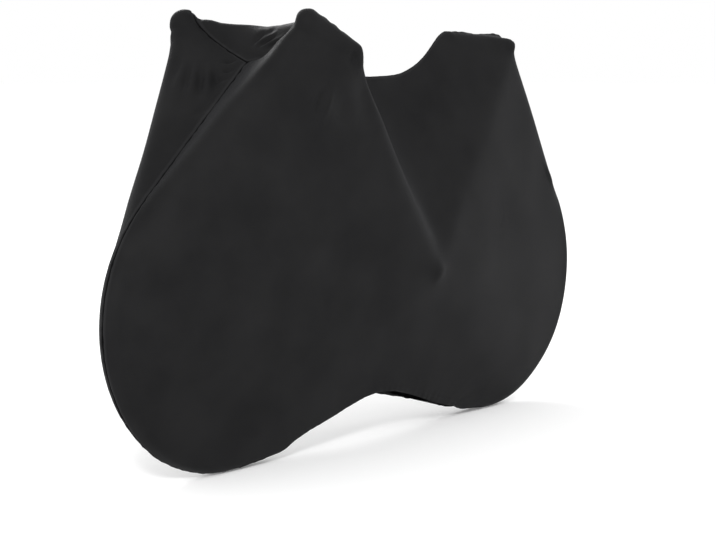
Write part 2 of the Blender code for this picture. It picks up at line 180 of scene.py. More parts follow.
# The hem is turned inwards and stitched down. Lengths are from the cloth's edge.
HEM_WIDTH = 0.018
HEM_STEP = 0.003            # over which the cloth gets as thick as the hem
HEM_RELIEF = 0.0009         # how far the hem stands out, and how deep its stitching lies
HEM_STITCH = 0.0155
HEM_STITCH_HALF = 0.0018
HEM_PUCKER = (0.0006, 0.021, 0.022)    # as SEAM_PUCKER
PUCKER_DEPTH_WAVE = 0.2     # wave length of either pucker away from its edge
HEM_TURN = [                # the turned edge: how many rows back up the net, how far inside it
    (0, 0.0014),
    (1, 0.0026),
    (2, 0.0028),
    (3, 0.0027),
    (4, 0.0018),
]
HEM_SMOOTHING = 20          # rounds, along the hem, on the directions it is turned in
OFF_FLOOR = 0.0004          # lowest the cloth's skin may lie
INSIDE_HEM = -0.01          # stands for the turned edge in the distances from the hem
NO_HEM = 1.0                # added to them on the gusset, which has none

# Creases, each along a straight line between two places on the cloth. Columns: side, start, end,
# half width and height, which is negative for a trough.
CREASE_REACH = 0.08         # how far over or under that line the cloth still takes it up
CREASE_END = 0.25           # share of its height at its two ends
CREASE_GAIN = 2.0           # and how fast it gains on that along its length
CREASES = [
    # the far bar end: its neck filled out, and the drawn cloth below the seam
    ("far", (-0.432, 0.204, 1.012), (-0.452, 0.192, 0.962), 0.021, 0.0060),
    ("far", (-0.452, 0.050, 0.915), (-0.480, 0.020, 0.862), 0.010, -0.0085),
    ("far", (-0.460, 0.066, 0.920), (-0.496, 0.034, 0.850), 0.009, 0.0045),
    ("far", (-0.472, 0.074, 0.905), (-0.508, 0.044, 0.846), 0.010, -0.0090),
    ("far", (-0.462, 0.094, 0.925), (-0.522, 0.066, 0.846), 0.010, 0.0050),
    ("far", (-0.480, 0.104, 0.918), (-0.524, 0.076, 0.860), 0.009, -0.0060),
    ("far", (-0.482, 0.122, 0.925), (-0.545, 0.084, 0.830), 0.012, 0.0055),
    ("far", (-0.474, 0.142, 0.945), (-0.515, 0.112, 0.875), 0.012, -0.0060),
    ("far", (-0.412, 0.026, 0.930), (-0.434, 0.046, 0.926), 0.007, -0.0075),
    ("far", (-0.428, 0.014, 0.914), (-0.452, 0.034, 0.908), 0.008, -0.0075),
    ("far", (-0.444, 0.012, 0.894), (-0.468, 0.030, 0.888), 0.007, -0.0050),
    ("far", (-0.500, 0.014, 0.835), (-0.536, 0.032, 0.800), 0.010, -0.0045),
    # the gusset: filled out beside the far bar end, drawn from its front corner to the near one
    ("gusset", (-0.402, 0.166, 1.016), (-0.386, 0.110, 1.004), 0.022, 0.0085),
    ("gusset", (-0.390, -0.008, 0.966), (-0.368, -0.020, 0.990), 0.007, -0.0075),
    ("gusset", (-0.390, -0.018, 0.966), (-0.380, -0.066, 0.989), 0.005, 0.0060),
    ("gusset", (-0.392, -0.026, 0.961), (-0.384, -0.072, 0.983), 0.005, -0.0060),
    ("gusset", (-0.393, -0.040, 0.961), (-0.390, -0.110, 0.982), 0.006, 0.0060),
    ("gusset", (-0.396, -0.056, 0.957), (-0.396, -0.118, 0.976), 0.006, -0.0060),
    ("gusset", (-0.376, -0.014, 0.985), (-0.362, -0.060, 0.992), 0.008, -0.0040),
    # the near bar end and grip
    ("near", (-0.430, -0.160, 1.000), (-0.434, -0.186, 1.034), 0.018, -0.0055),
    ("near", (-0.436, -0.100, 0.945), (-0.444, -0.156, 0.985), 0.010, 0.0040),
    ("near", (-0.324, -0.253, 0.958), (-0.314, -0.243, 0.922), 0.009, -0.0085),
    ("near", (-0.298, -0.246, 0.955), (-0.288, -0.240, 0.905), 0.011, 0.0050),
    ("near", (-0.376, -0.218, 0.874), (-0.402, -0.208, 0.812), 0.011, -0.0090),
    ("near", (-0.360, -0.218, 0.872), (-0.385, -0.208, 0.804), 0.011, 0.0060),
    ("near", (-0.345, -0.222, 0.850), (-0.300, -0.216, 0.790), 0.024, -0.0070),
    # the hollow between the grip and the pedal
    ("near", (-0.285, -0.240, 0.925), (-0.215, -0.215, 0.760), 0.036, -0.0110),
    # the seam behind the saddle, caught up over the tyre
    ("near", (0.745, -0.030, 0.585), (0.775, -0.026, 0.545), 0.008, -0.0060),
    ("near", (0.690, -0.040, 0.640), (0.745, -0.034, 0.570), 0.009, 0.0050),
]

# The knit, its stitches and their relief.
TONE = 0.0175               # linear grey of the black knit
GUSSET_TONE = 1.05          # the gusset's, as a share of it
WALE = 0.0012               # spacing of the knit's columns
COURSE = 0.0009             # and of its rows
STITCH_PITCH = 0.0032
STITCH_SHARE = 0.68         # of the pitch that is thread
STITCH_HALF = 0.0005        # half a stitch's width
KNIT_SHADES = [             # darkest and lightest: where in the mix of noises, shares of the tone
    (0.25, (0.72, 0.72, 0.76)),
    (0.80, (1.30, 1.29, 1.32)),
]
FIBRE_SHARE = 0.25          # of the fibres and stitches in that mix, against the cloudy patches
# Stitches are painted lighter than the knit: painted sheen on the black thread.
STITCH_PAINTED_SHEEN = 0.9
# Painted shade darkens the seam's furrow; the rolls of doubled cloth beside it are lighter, partly
# their own and partly painted sheen.
SEAM_PAINTED_SHADE_REACH = 0.012          # from the seam to the end of its painted shade and sheen
SEAM_PAINTED_SHADE_AND_SHEEN = [             # share of that distance, share of the knit's colour
    (0.12, 0.10),
    (0.28, 1.0),
    (0.60, 0.95),
    (0.85, 0.65),
]
KNIT_BUMP = 0.25            # heights in the relief, as shares of its depth
FIBRE_BUMP = 0.8
STITCH_BUMP = 2.2
BUMP_DEPTH = 0.0004

# ---- Floor, lights and camera ----
LIGHTS = {                  # place, where it is aimed, size and power in watts
    "key": ((-4.6, -3.4, 3.4), (-0.2, 0.0, 0.6), 1.0, 190.0),
    "side": ((2.6, -2.6, 2.4), (0.5, 0.0, 0.6), 1.0, 12.0),
    "back": ((2.4, 4.2, 3.2), (0.1, 0.0, 0.6), 1.6, 110.0),
}
FLOOR_RADIUS = 30.0
CAMERA_PLACE = (-3.396, -2.951, 0.9993)
CAMERA_DOWN = 7.40          # degrees below level
CAMERA_TURN = -48.81        # degrees round from looking along +Y
CAMERA_LENS = 93.35         # millimetres, on a 36 mm sensor


# ---- Lines ----
def even_line(points, cells):
    """The same line with its points spaced evenly along it."""
    points = np.array(points, dtype=float)
    along = np.concatenate([[0.0], np.cumsum(np.linalg.norm(np.diff(points, axis=0), axis=1))])
    stations = np.linspace(0.0, along[-1], cells + 1)
    return np.stack([np.interp(stations, along, points[:, axis]) for axis in range(3)], axis=1)


def smooth_line(knots, cells, steps_per_knot=24):
    """Evenly spaced points on a smooth line through the knots, both ends included."""
    knots = np.array(knots, dtype=float)
    spans = np.linalg.norm(np.diff(knots, axis=0), axis=1)[:, None]
    slopes = np.diff(knots, axis=0) / spans
    tangents = np.concatenate([slopes[:1], slopes])
    tangents[1:-1] = ((slopes[:-1] * spans[1:] + slopes[1:] * spans[:-1])
                      / (spans[:-1] + spans[1:]))
    t = np.linspace(0.0, 1.0, steps_per_knot, endpoint=False)[:, None]
    pieces = []
    for i, span in enumerate(spans):
        pieces.append((2 * t**3 - 3 * t**2 + 1) * knots[i]
                      + (t**3 - 2 * t**2 + t) * tangents[i] * span
                      + (3 * t**2 - 2 * t**3) * knots[i + 1]
                      + (t**3 - t**2) * tangents[i + 1] * span)
    return even_line(np.concatenate([*pieces, knots[-1:]]), cells)


def join(lines):
    """One line from several that follow each other end to end."""
    return np.concatenate([lines[0]] + [line[1:] for line in lines[1:]])


def on_wheel(wheel, degrees, half_width=0.0):
    """A point of the tyre's outside, over the tread or down its side by half_width."""
    angle = math.radians(degrees)
    radius = WHEEL_RADIUS - TYRE_HALF + math.sqrt(TYRE_HALF**2 - half_width**2)
    return (WHEELS[wheel] + radius * math.cos(angle), half_width,
            WHEEL_RADIUS + radius * math.sin(angle))


def wheel_arc(wheel, start, end, cells, half_width=0.0):
    """Evenly spaced points round the tyre, from the start to the end angle in degrees."""
    angles = np.linspace(start, end, cells + 1)
    return np.array([on_wheel(wheel, angle, half_width) for angle in angles])


def tangent_angle(wheel, point):
    """Where a straight line from the point touches the wheel in front, in degrees."""
    reach_x, reach_z = point[0] - WHEELS[wheel], point[2] - WHEEL_RADIUS
    towards = math.degrees(math.atan2(reach_z, reach_x))
    return towards + math.degrees(math.acos(WHEEL_RADIUS / math.hypot(reach_x, reach_z)))


def seam_line(side):
    """The whole seam edge of a side panel, from the front wheel's foot to the rear wheel's."""
    leaves_front = tangent_angle("front", FRONT_CORNER)
    return join([
        wheel_arc("front", SEAM_END, leaves_front, CELLS["front_wheel"]),
        even_line([on_wheel("front", leaves_front), FRONT_CORNER], CELLS["front_seam"]),
        smooth_line(TO_BAR_END[side], CELLS["to_bar_end"]),
        smooth_line(TO_REAR_CORNER, CELLS["to_rear_corner"]),
        smooth_line(RIDGE, CELLS["ridge"]),
        smooth_line(SADDLE, CELLS["saddle"]),
        smooth_line([*REAR_DROP, on_wheel("rear", REAR_DROP_ENDS)], CELLS["rear_seam"]),
        wheel_arc("rear", REAR_DROP_ENDS, 180.0 - SEAM_END, CELLS["rear_wheel"]),
    ])


def hem_line(cells):
    """The hem: round the foot of each tyre and up in a shallow arch between the wheels."""
    at_front, between, at_rear = HEM_CELLS
    first = wheel_arc("front", SEAM_END + HEM_BACK, HEM_LEAVES_FRONT, at_front, HEM_TUCK)
    last = wheel_arc("rear", HEM_MEETS_REAR, 540.0 - SEAM_END - HEM_BACK, at_rear, HEM_TUCK)
    free = smooth_line([first[-1], *HEM, last[0]], between)
    return even_line(join([first, free, last]), cells)


# ---- Supports ----
def push_off(points, centres, radii):
    """Move the points that are nearer than the radii to their centres out to that distance."""
    away = points - centres
    distance = np.maximum(np.linalg.norm(away, axis=-1), LEAST_REACH)
    return centres + away * np.maximum(radii / distance, 1.0)[..., None]


def push_off_tyre(points, wheel):
    """Move the points inside the tyre out to its surface."""
    ring_radius = WHEEL_RADIUS - TYRE_HALF
    across = points[..., 0] - WHEELS[wheel]
    up = points[..., 2] - WHEEL_RADIUS
    reach = np.maximum(np.hypot(across, up), LEAST_REACH)
    ring = np.stack([WHEELS[wheel] + across / reach * ring_radius, np.zeros_like(reach),
                     WHEEL_RADIUS + up / reach * ring_radius], axis=-1)
    return push_off(points, ring, TYRE_HALF)


def push_off_rod(points, rod):
    """Move the points inside the rod out to its surface."""
    start, end = np.array(rod)
    axis = (end - start)[:3]
    part = np.clip((points - start[:3]) @ axis / (axis @ axis), 0.0, 1.0)
    return push_off(points, start[:3] + part[..., None] * axis, start[3] + part * (end - start)[3])


def ball_points(x, half_width, z, radius):
    """Points all over the round end of a rod."""
    points = []
    for latitude in range(BALL_STEP - 90, 91, BALL_STEP):
        for longitude in range(0, 360, BALL_STEP):
            up, round_angle = math.radians(latitude), math.radians(longitude)
            points.append((x + radius * math.cos(up) * math.cos(round_angle),
                           half_width + radius * math.cos(up) * math.sin(round_angle),
                           z + radius * math.sin(up)))
    return points


def rod_points(*rods):
    """Points all over both ends of each rod."""
    return [point for rod in rods for end in rod for point in ball_points(*end)]


def wrap_planes(points):
    """The faces of the tight wrap round the points, as rows of outward normal and offset."""
    wrap = bmesh.new()
    for point in points:
        wrap.verts.new(point)
    bmesh.ops.convex_hull(wrap, input=wrap.verts)
    wrap.normal_update()
    planes = [(*face.normal, face.normal.dot(face.verts[0].co))
              for face in wrap.faces if face.calc_area() > SMALL]
    wrap.free()
    return np.array(planes)


def tyre_points(wheel):
    """Points on one half of the tyre, from its tread to its side."""
    cells = 360 // WHEEL_STEP - 1
    bands = [wheel_arc(wheel, 0.0, 360.0 - WHEEL_STEP, cells, band * TYRE_HALF)
             for band in TYRE_BANDS]
    return np.concatenate(bands).tolist()


def side_tents(rods):
    """The tents of one side, each as the planes of its wrap."""
    tents = []
    for rod_names, corners, wheels in TENTS:
        points = list(corners)
        points += rod_points(*(rods[name] for name in rod_names))
        for wheel in wheels:
            points += tyre_points(wheel)
        tents.append(wrap_planes(points))
    return tents


def way_out(planes, start, directions):
    """How far each direction runs from the start to where it leaves a wrap, or 0 if it misses."""
    lean = directions @ planes[:, :3].T
    room = planes[:, 3] - planes[:, :3] @ start
    with np.errstate(divide="ignore", invalid="ignore"):
        cross = room / lean
    leave = np.where(lean > SMALL, cross, np.inf).min(axis=1)
    enter = np.where(lean < -SMALL, cross, -np.inf).max(axis=1)
    return np.where((leave > enter) & (leave > 0.0), leave, 0.0)


# ---- Nets ----
def taut_line(points):
    """The tight line over points in the plane, from the first to the last, bulging to the left."""
    line = []
    for point in points:
        while len(line) > 1:
            before, here = line[-1] - line[-2], point - line[-1]
            if before[0] * here[1] - before[1] * here[0] > 0.0:
                break
            line.pop()
        line.append(point)
    return line


def rib(top, foot, lean, tents):
    """One rib of a side panel, from its seam down to its hem, taut over the tents between."""
    outward = unit(np.array([-lean, 1.0, 0.0]))
    heart = (top + foot) / 2
    heart = heart - outward * heart[1] / outward[1]
    towards_seam = unit(top - foot - (top - foot) @ outward * outward)
    section = [np.array([(end - heart) @ towards_seam, (end - heart) @ outward])
               for end in (top, foot)]
    first, last = (math.atan2(end[1], end[0]) for end in section)
    angles = np.linspace(first, last % math.tau, RAYS + 2)[1:-1]
    directions = (np.cos(angles)[:, None] * towards_seam + np.sin(angles)[:, None] * outward)
    reach = np.max([way_out(planes, heart, directions) for planes in tents], axis=0)
    rays = np.stack([np.cos(angles), np.sin(angles)], axis=1) * reach[:, None]
    line = np.array(taut_line([section[0], *rays[reach > 0.0], section[1]]))
    along = np.concatenate([[0.0], np.cumsum(np.linalg.norm(np.diff(line, axis=0), axis=1))])
    even = np.linspace(0.0, 1.0, ROWS + 1)
    stations = (even - ROW_CROWDING * np.sin(math.tau * even) / math.tau) * along[-1]
    placed = [np.interp(stations, along, line[:, axis])[:, None] for axis in range(2)]
    return heart + placed[0] * towards_seam + placed[1] * outward


def draw_taut(net, push, rounds):
    """Draw the inner knots of a net to the mean of their neighbours, nearer ones counting more."""
    steps_u, steps_v = (np.maximum(np.linalg.norm(np.diff(net, axis=axis), axis=2), LEAST_CELL)
                        for axis in (0, 1))
    along_u, along_v = 1.0 / steps_u[:, 1:-1, None], 1.0 / steps_v[1:-1, :, None]
    total = along_u[:-1] + along_u[1:] + along_v[:, :-1] + along_v[:, 1:]
    net = net.copy()
    for _ in range(rounds):
        mean = (net[:-2, 1:-1] * along_u[:-1] + net[2:, 1:-1] * along_u[1:]
                + net[1:-1, :-2] * along_v[:, :-1] + net[1:-1, 2:] * along_v[:, 1:]) / total
        net[1:-1, 1:-1] = push(mean)
    return net


def spread_over(coarse, shape):
    """A coarse field spread smoothly over a finer net of the given shape."""
    for axis in (0, 1):
        size = coarse.shape[axis] - 1
        at = np.linspace(0.0, size, shape[axis])
        low = np.minimum(at.astype(int), size - 1)
        part = np.expand_dims(at - low, (1, 2) if axis == 0 else (0, 2))
        before, here, after, beyond = (np.take(coarse, np.clip(low + step, 0, size), axis=axis)
                                       for step in (-1, 0, 1, 2))
        coarse = here + part / 2 * (after - before + part * (
            2 * before - 5 * here + 4 * after - beyond
            + part * (3 * (here - after) + beyond - before)))
    return coarse


def side_net(side):
    """A side panel's net, worked out on the +Y side."""
    rods = {**RODS, "pedal": PEDALS[side]}
    tents = side_tents(rods)

    def off_supports(points):
        points[..., 1] = np.maximum(points[..., 1], 0.0)
        for rod in rods.values():
            points = push_off_rod(points, rod)
        for wheel in WHEELS:
            points = push_off_tyre(points, wheel)
        return points

    seam = seam_line(side)
    hem = hem_line(len(seam) - 1)
    leans = join([np.linspace(*LEANS[section], cells + 1) for section, cells in CELLS.items()])
    spanned = np.array([rib(top, foot, lean, tents) for top, foot, lean in zip(seam, hem, leans)])
    coarse = spanned[::FINE, ::2 * FINE]
    sag = draw_taut(coarse, off_supports, SAG_ROUNDS) - coarse
    net = spanned + (1 - FIRMNESS) * spread_over(sag, spanned.shape)
    return draw_taut(net, off_supports, SOFTENING)


def mirrored(rod):
    """The same rod on the other side of the middle plane."""
    return tuple((x, -half_width, z, radius) for x, half_width, z, radius in rod)


def gusset_net(near_seam, far_seam):
    """The kite between the two side panels, from its four seam edges."""
    cells = (len(near_seam) - 1) // 2
    front_near, rear_near = near_seam[:cells + 1], near_seam[cells:]
    front_far, rear_far = far_seam[:cells + 1], far_seam[cells:]
    bars = [RODS["handlebar"], mirrored(RODS["handlebar"])]
    tents = [wrap_planes([FRONT_CORNER, REAR_CORNER, *rod_points(*bars)]),
             wrap_planes(rod_points(CREST)), wrap_planes(rod_points(mirrored(CREST)))]

    def off_handlebar(knots):
        for planes in tents:
            depth = knots @ planes[:, :3].T - planes[:, 3]
            inside = depth.max(axis=-1, keepdims=True) < 0.0
            depth[..., planes[:, 2] < GUSSET_FACE] = -np.inf
            nearest = np.argmax(depth, axis=-1)
            reach = np.take_along_axis(depth, nearest[..., None], axis=-1)
            knots = np.where(inside, knots - planes[nearest, :3] * reach, knots)
        return knots

    rise = 0.0
    for step, rounds in zip((FINE, 1), GUSSET_ROUNDS):
        size = cells // step
        u = np.linspace(0.0, 1.0, size + 1)[:, None, None]
        v = np.linspace(0.0, 1.0, size + 1)[None, :, None]
        near_front, near_rear = front_near[::step][:, None], rear_near[::step][None, :]
        far_front, far_rear = front_far[::step][None, :], rear_far[::step][:, None]
        ruled = ((1 - v) * near_front + v * far_rear + (1 - u) * far_front + u * near_rear
                 - (1 - u) * (1 - v) * near_front[0] - u * (1 - v) * near_front[-1]
                 - (1 - u) * v * far_front[0, -1] - u * v * near_rear[0, -1])
        net = ruled + (spread_over(rise, ruled.shape) if step < FINE else 0.0)
        net = draw_taut(net, off_handlebar, rounds)
        rise = net - ruled
    return net


def unit(vectors):
    """The vectors at length 1."""
    return vectors / np.maximum(np.linalg.norm(vectors, axis=-1, keepdims=True), SMALL)


def knot_normals(net):
    """The net's normal at each knot, from the cells that meet there."""
    across = np.cross(net[1:, 1:] - net[:-1, :-1], net[:-1, 1:] - net[1:, :-1])
    normals = np.zeros_like(net)
    for rows in (slice(0, -1), slice(1, None)):
        for columns in (slice(0, -1), slice(1, None)):
            normals[rows, columns] += across
    return unit(normals)


# ---- Creases, seams and hem ----
def add_creases(net, normals, side):
    """The net with its side's creases, each fading towards its two ends."""
    for name, start, end, half_width, height in CREASES:
        if name != side:
            continue
        start, end = np.array(start), np.array(end)
        axis = end - start
        part = np.clip((net - start) @ axis / (axis @ axis), 0.0, 1.0)
        away = net - (start + part[..., None] * axis)
        off_cloth = np.sum(away * normals, axis=-1, keepdims=True)
        across = np.linalg.norm(away - off_cloth * normals, axis=-1)
        near_by = np.exp(-(off_cloth[..., 0] / CREASE_REACH) ** 2)
        fade = np.minimum(1.0, CREASE_END + CREASE_GAIN * np.minimum(part, 1 - part))
        rise = height * fade * near_by * np.exp(-(across / half_width) ** 2)
        net = net + normals * rise[..., None]
    return net


def refine(net, axis):
    """The net with a knot halfway between each two along an axis, on a smooth curve."""
    net = np.moveaxis(net, axis, 0)
    before = np.concatenate([2 * net[:1] - net[1:2], net[:-2]])
    after = np.concatenate([net[2:], 2 * net[-1:] - net[-2:-1]])
    halfway = (9.0 * (net[:-1] + net[1:]) - before - after) / 16.0
    finer = np.empty((2 * len(net) - 1, *net.shape[1:]))
    finer[::2], finer[1::2] = net, halfway
    return np.moveaxis(finer, 0, axis)


def ease_pleats(net):
    """Ease out the ribs' own traces along the lower cloth, away from the seam."""
    share = np.clip((EASED_BELOW - net[..., 2:]) / EASED_OVER, 0.0, 1.0)
    rows = np.linspace(0.0, 1.0, net.shape[1])[None, :, None]
    share = share * np.clip(rows / EASED_FROM_SEAM, 0.0, 1.0)
    by_pedal = np.linalg.norm((net - PEDAL_TIP) * (1.0, 0.0, 1.0), axis=-1, keepdims=True)
    share = share * np.clip(by_pedal / PEDAL_REACH, PEDAL_EASING, 1.0)
    for _ in range(EASING_ROUNDS):
        mean = net.copy()
        mean[1:-1] = (net[:-2] + 2.0 * net[1:-1] + net[2:]) / 4.0
        net = net + share * (mean - net)
    return net


def turn_hem(net, normals):
    """The net with rows that fold its edge inwards and back up, as a turned hem."""
    normals = normals.copy()
    for _ in range(HEM_SMOOTHING):
        normals[1:-1] = unit(normals[:-2] + 2.0 * normals[1:-1] + normals[2:])
    rows = [net[:, -1 - back] - inside * normals[:, -1 - back] for back, inside in HEM_TURN]
    net = np.concatenate([net, np.stack(rows, axis=1)], axis=1)
    net[..., 2] = np.maximum(net[..., 2], OFF_FLOOR)
    return net


def wander(u, v, seed):
    """A smooth, uneven field of about -1 to 1 over lengths u and v, each wave about 1 unit long."""
    field = np.zeros(np.broadcast(u, v).shape)
    waves = np.random.default_rng(seed).uniform(-1.0, 1.0, (WAVES, 3))
    middle, spread = WAVE_PITCH
    for lean, pitch, shift in waves:
        along = u * math.cos(math.pi * lean) + v * math.sin(math.pi * lean)
        field = field + np.sin(math.tau * ((middle + spread * pitch) * along + shift))
    return field / WAVES_REACH


def lengths(net, axis):
    """Distance along the net from its first knot, the seam on axis 1."""
    steps = np.linalg.norm(np.diff(net, axis=axis), axis=2)
    start = np.zeros_like(np.take(steps, [0], axis=axis))
    return np.concatenate([start, np.cumsum(steps, axis=axis)], axis=axis)


def bump_at(distance, centre, half_width):
    """A smooth bump of height 1 round the centre."""
    return np.exp(-((distance - centre) / half_width) ** 2)


def ramp(distance, width):
    """0 up to a distance of 0, then evenly up to 1 over the width."""
    return np.clip(distance / width, 0.0, 1.0)


def puckers(from_edge, edge_along, size, seed):
    """Uneven waves along a stitched edge, fading away from it."""
    height, wave, half_width = size
    return (height * bump_at(from_edge, 0.0, half_width)
            * wander(edge_along / wave, from_edge / PUCKER_DEPTH_WAVE, seed))


def seam_relief(from_seam, seam_along, seed):
    """A stitched seam: a sharp furrow between two low rolls, drawn up unevenly by its thread."""
    return (-FURROW_DEPTH * bump_at(from_seam, 0.0, FURROW_HALF)
            + ROLL_HEIGHT * bump_at(from_seam, ROLL_AT, ROLL_HALF)
            + puckers(from_seam, seam_along, SEAM_PUCKER, seed))


def finish_panel(net, side):
    """The panel with its creases, seam, hem and slight unevenness, and its lengths."""
    net = ease_pleats(refine(net, 0))
    normals = knot_normals(net) * (1.0 if side == "far" else -1.0)
    along = lengths(net, 0)
    seam_along = np.broadcast_to(along[:, :1], along.shape)
    hem_along = np.broadcast_to(along[:, -1:], along.shape)
    from_seam = lengths(net, 1)
    from_hem = from_seam[:, -1:] - from_seam
    seed = SEEDS[side]
    height, waves, edge = PANEL_UNEVEN
    rise = (height * (ramp(from_seam, edge) * ramp(from_hem, edge))
            * wander(net[..., 0] / waves[0], net[..., 2] / waves[1], seed))
    rise += seam_relief(from_seam, seam_along, seed + 1)
    rise += HEM_RELIEF * ramp(HEM_WIDTH - from_hem, HEM_STEP)
    rise -= HEM_RELIEF * bump_at(from_hem, HEM_STITCH, HEM_STITCH_HALF)
    rise += puckers(from_hem, hem_along, HEM_PUCKER, seed + 2)
    net = add_creases(net, normals, side) + normals * rise[..., None]
    net = turn_hem(net, normals)
    turned = len(HEM_TURN)
    spread = [np.concatenate([part, np.repeat(part[:, -1:], turned, axis=1)], axis=1)
              for part in (seam_along, from_seam, from_hem)]
    spread[2][:, -turned:] = INSIDE_HEM
    return net, *spread


def finish_gusset(net, near_edge, far_edge):
    """The gusset with its creases and seams, sewn to the panels' edges, and its lengths."""
    net = refine(refine(net, 0), 1)
    normals = knot_normals(net)
    along, across = lengths(net, 0), lengths(net, 1)
    from_edge = np.minimum(np.minimum(along, along[-1:] - along),
                           np.minimum(across, across[:, -1:] - across))
    beside = np.where(along < across, across, along)
    height, waves, edge = GUSSET_UNEVEN
    rise = (seam_relief(from_edge, beside, SEEDS["gusset_seam"]) + height * ramp(from_edge, edge)
            * wander(along / waves[0], across / waves[1], SEEDS["gusset"]))
    net = add_creases(net, normals, "gusset") + normals * rise[..., None]
    cells = len(net) - 1
    net[:, 0], net[-1, :] = near_edge[:cells + 1], near_edge[cells:]
    net[0, :], net[:, -1] = far_edge[:cells + 1], far_edge[cells:]
    return net, beside, from_edge


# ---- Material ----
class ShaderNodes:
    """A material's shader nodes, added and linked."""

    def __init__(self, material):
        material.use_nodes = True
        self.nodes = material.node_tree.nodes
        self.links = material.node_tree.links

    def feed(self, socket, value):
        """Set a socket to a number, or link another node's output to it."""
        if isinstance(value, (int, float)):
            socket.default_value = value
        else:
            self.links.new(value, socket)

    def add(self, kind, inputs=None, **settings):
        """A new node with its settings, and with its inputs fed."""
        node = self.nodes.new(kind)
        for key, value in settings.items():
            setattr(node, key, value)
        for name, value in (inputs or {}).items():
            self.feed(node.inputs[name], value)
        return node

    def maths(self, operation, *values):
        """The result of one operation on numbers or other nodes' outputs."""
        node = self.add("ShaderNodeMath", operation=operation)
        for socket, value in zip(node.inputs, values):
            self.feed(socket, value)
        return node.outputs[0]

    def uv_lengths(self, uv_map):
        """The two lengths that a UV map holds."""
        pair = self.add("ShaderNodeUVMap", uv_map=uv_map).outputs[0]
        split = self.add("ShaderNodeSeparateXYZ")
        self.links.new(pair, split.inputs[0])
        return split.outputs[0], split.outputs[1]

    def noise(self, scale, detail):
        """Noise that stays in place on the object."""
        place = self.add("ShaderNodeTexCoord").outputs["Object"]
        inputs = {"Vector": place, "Scale": scale, "Detail": detail}
        return self.add("ShaderNodeTexNoise", inputs).outputs["Fac"]

    def shades(self, factor, stops):
        """Colours that change evenly between stops of position and colour."""
        node = self.add("ShaderNodeValToRGB", {"Fac": factor})
        elements = node.color_ramp.elements
        for index, (position, colour) in enumerate(stops):
            element = elements[index] if index < len(elements) else elements.new(position)
            element.position = position
            element.color = (*colour, 1.0)
        return node.outputs["Color"]


def stitching(shader, along, from_seam, from_hem):
    """1 on a thread and 0 beside it: a row on either side of a seam, and one on the hem."""
    pitches = shader.maths("FRACT", shader.maths("MULTIPLY", along, 1 / STITCH_PITCH))
    dash = shader.maths("LESS_THAN", pitches, STITCH_SHARE)

    def row(distance, at):
        off = shader.maths("ABSOLUTE", shader.maths("SUBTRACT", distance, at))
        return shader.maths("MULTIPLY", shader.maths("LESS_THAN", off, STITCH_HALF), dash)

    return shader.maths("ADD", row(from_seam, SEAM_STITCH), row(from_hem, HEM_STITCH))


def knit_colour(shader, tone, from_seam, fibres, stitches):
    """Slightly cloudy cloth, with painted shade in a seam's furrow and lighter on the rolls beside
    it, partly the doubled cloth and partly painted sheen; the stitches carry painted sheen.
    """
    # The fibres' own uneven tone, with painted sheen added on the stitches.
    fibres_and_stitch_sheen = shader.maths("ADD", fibres, shader.maths("MULTIPLY", stitches, STITCH_PAINTED_SHEEN))
    clouds = shader.noise(scale=9.0, detail=5.0)
    mixed = shader.maths("ADD", shader.maths("MULTIPLY", clouds, 1.0 - FIBRE_SHARE),
                         shader.maths("MULTIPLY", fibres_and_stitch_sheen, FIBRE_SHARE))
    shade = shader.shades(mixed, [(position, [tone * share for share in shares])
                                  for position, shares in KNIT_SHADES])
    # Painted shade in the seam's furrow, and a lighter band on the rolls that is partly doubled
    # cloth and partly painted sheen.
    reach = shader.maths("MULTIPLY", from_seam, 1 / SEAM_PAINTED_SHADE_REACH)
    painted_seam_shade_and_sheen = shader.shades(reach, [(position, [share] * 3)
                                        for position, share in SEAM_PAINTED_SHADE_AND_SHEEN])
    toned = shader.add("ShaderNodeMix", {"Factor": 1.0, "A": shade, "B": painted_seam_shade_and_sheen},
                       data_type="RGBA", blend_type="MULTIPLY")
    return toned.outputs["Result"]


def knit_relief(shader, along, from_seam, fibres, stitches):
    """The bump of the knit's columns and rows, its fibres and its stitches."""
    wales = shader.maths("SINE", shader.maths("MULTIPLY", along, math.tau / WALE))
    courses = shader.maths("SINE", shader.maths("MULTIPLY", from_seam, math.tau / COURSE))
    knit = shader.maths("MULTIPLY", shader.maths("ADD", wales, courses), KNIT_BUMP)
    height = shader.maths("ADD", knit, shader.maths(
        "ADD", shader.maths("MULTIPLY", fibres, FIBRE_BUMP),
        shader.maths("MULTIPLY", stitches, STITCH_BUMP)))
    inputs = {"Strength": 0.35, "Distance": BUMP_DEPTH, "Height": height}
    return shader.add("ShaderNodeBump", inputs).outputs["Normal"]


def knit_material(name, tone):
    """Matt black stretch knit, laid out by the cloth's own lengths."""
    material = bpy.data.materials.new(name)
    shader = ShaderNodes(material)
    surface = shader.nodes["Principled BSDF"]
    along, from_seam = shader.uv_lengths("cloth")
    _, from_hem = shader.uv_lengths("edge")
    fibres = shader.noise(scale=900.0, detail=2.0)
    stitches = stitching(shader, along, from_seam, from_hem)
    shader.feed(surface.inputs["Base Color"],
                knit_colour(shader, tone, from_seam, fibres, stitches))
    shader.feed(surface.inputs["Normal"],
                knit_relief(shader, along, from_seam, fibres, stitches))
    surface.inputs["Roughness"].default_value = 0.58
    surface.inputs["Specular IOR Level"].default_value = 0.03
    surface.inputs["Sheen Weight"].default_value = 0.03
    surface.inputs["Sheen Roughness"].default_value = 0.42
    surface.inputs["Sheen Tint"].default_value = (0.85, 0.87, 0.92, 1.0)
    return material


